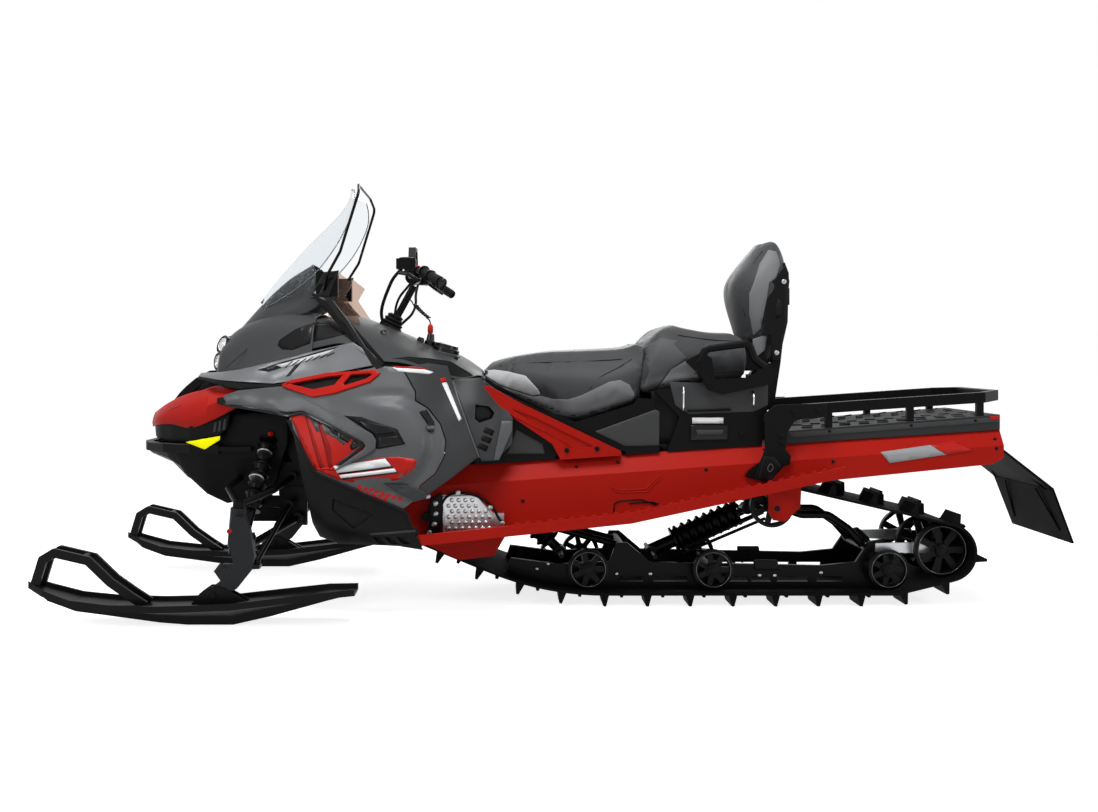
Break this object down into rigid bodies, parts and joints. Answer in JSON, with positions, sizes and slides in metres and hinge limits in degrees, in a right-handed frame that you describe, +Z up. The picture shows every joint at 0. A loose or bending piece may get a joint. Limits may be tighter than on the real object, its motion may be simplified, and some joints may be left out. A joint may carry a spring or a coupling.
{
  "type": "snowmobile",
  "caption": "Two-up utility snowmobile with steerable skis on king pins, a lugged track on a sprung skid, a long seat with backrest, a tall screen and a rear cargo rack.",
  "frame": {"origin": "on the ground, in the middle of the overall length and width", "axes": "+X to the front, +Y to the rider's left, +Z up"},
  "size_m": [3.479, 1.16, 1.461],
  "materials": {
    "track_rubber": "matte",
    "flap_rubber": "matte",
    "grip_rubber": "matte",
    "wheel_plastic": "satin",
    "black_steel": "satin",
    "red_paint": "gloss",
    "red_plastic": "gloss",
    "spindle_paint": "satin",
    "ski_plastic": "satin",
    "bare_aluminium": "brushed",
    "engine_casting": "matte",
    "charcoal_plastic": "satin",
    "silver_plastic": "satin",
    "grey_plastic": "satin",
    "black_plastic": "satin",
    "clear_screen": "clear",
    "lamp_glass": "clear",
    "seat_vinyl": "matte"
  },
  "bodies": {
    "chassis": {"axle_adjusters": "bare_aluminium", "backrest_frame": "black_plastic", "backrest_pad": "seat_vinyl", "belly_pan": "black_plastic", "bulkhead": "black_steel", "bumper_front": "black_plastic", "cargo_deck": "black_plastic", "cargo_rack": "black_steel", "centre_skid_shock": "black_steel", "console": "charcoal_plastic", "drive_sprockets": "wheel_plastic", "engine_block": "engine_casting", "frame_pyramid": "black_steel", "front_arms": "black_steel", "front_cowl": "charcoal_plastic", "front_shocks": "black_steel", "front_swing_arm": "black_steel", "fuel_tank": "black_plastic", "grab_handles": "black_plastic", "grille": "black_plastic", "headlamps": "lamp_glass", "hitch": "black_steel", "hood": "silver_plastic", "idler_wheels": "wheel_plastic", "intake_frames": "red_plastic", "knee_panels": "charcoal_plastic", "lower_guards": "black_plastic", "nose_cowl": "red_plastic", "rear_skid_shock": "black_steel", "rear_swing_arm": "black_steel", "rear_wheels": "wheel_plastic", "running_boards": "red_paint", "seat_box": "black_plastic", "seat_front": "seat_vinyl", "seat_rear": "seat_vinyl", "side_panels": "grey_plastic", "slide_rails": "black_steel", "snow_flap": "flap_rubber", "tail_lamp": "red_plastic", "track": "track_rubber", "tread_plates": "bare_aluminium", "tunnel": "red_paint", "tunnel_braces": "red_paint", "wind_wings": "clear_screen", "windshield": "clear_screen", "windshield_cowl": "charcoal_plastic", "windshield_frame": "black_steel"},
    "steering": {"steering_post": "black_steel", "handlebar": "black_steel", "grips": "grip_rubber", "hand_controls": "black_plastic"},
    "spindle_left": {"spindle_left": "spindle_paint"},
    "spindle_right": {"spindle_right": "spindle_paint"},
    "ski_left": {"ski_left": "ski_plastic"},
    "ski_right": {"ski_right": "ski_plastic"},
    "tie_rods": {"tie_rods": "black_steel"}
  },
  "joints": [
    {"name": "handlebar_turn", "type": "hinge", "parent": "chassis", "child": "steering", "pos_m": [0.64, 0, 0.934], "axis": [-0.4787, 0, 0.878], "range_deg": [-30, 30]},
    {"name": "steer_left", "type": "hinge", "parent": "chassis", "child": "spindle_left", "pos_m": [1.085, 0.462, 0.305], "axis": [-0.0872, 0, 0.9962], "range_deg": [-30, 30]},
    {"name": "steer_right", "type": "hinge", "parent": "chassis", "child": "spindle_right", "pos_m": [1.085, -0.462, 0.305], "axis": [-0.0872, 0, 0.9962], "range_deg": [-30, 30]},
    {"name": "tie_rod_slide", "type": "slide", "parent": "chassis", "child": "tie_rods", "axis": [0, 1, 0], "range_m": [-0.038, 0.038]},
    {"name": "ski_pitch_left", "type": "hinge", "parent": "spindle_left", "child": "ski_left", "pos_m": [1.145, 0.5, 0.098], "axis": [0, 1, 0], "range_deg": [-15, 10], "stiffness_Nm_per_rad": 150},
    {"name": "ski_pitch_right", "type": "hinge", "parent": "spindle_right", "child": "ski_right", "pos_m": [1.145, -0.5, 0.098], "axis": [0, 1, 0], "range_deg": [-15, 10], "stiffness_Nm_per_rad": 150}
  ],
  "couplings": [
    {"joint": "steer_left", "follows": "handlebar_turn", "ratio": 1},
    {"joint": "steer_right", "follows": "handlebar_turn", "ratio": 1},
    {"joint": "tie_rod_slide", "follows": "handlebar_turn", "m_per_rad": -0.0717}
  ]
}
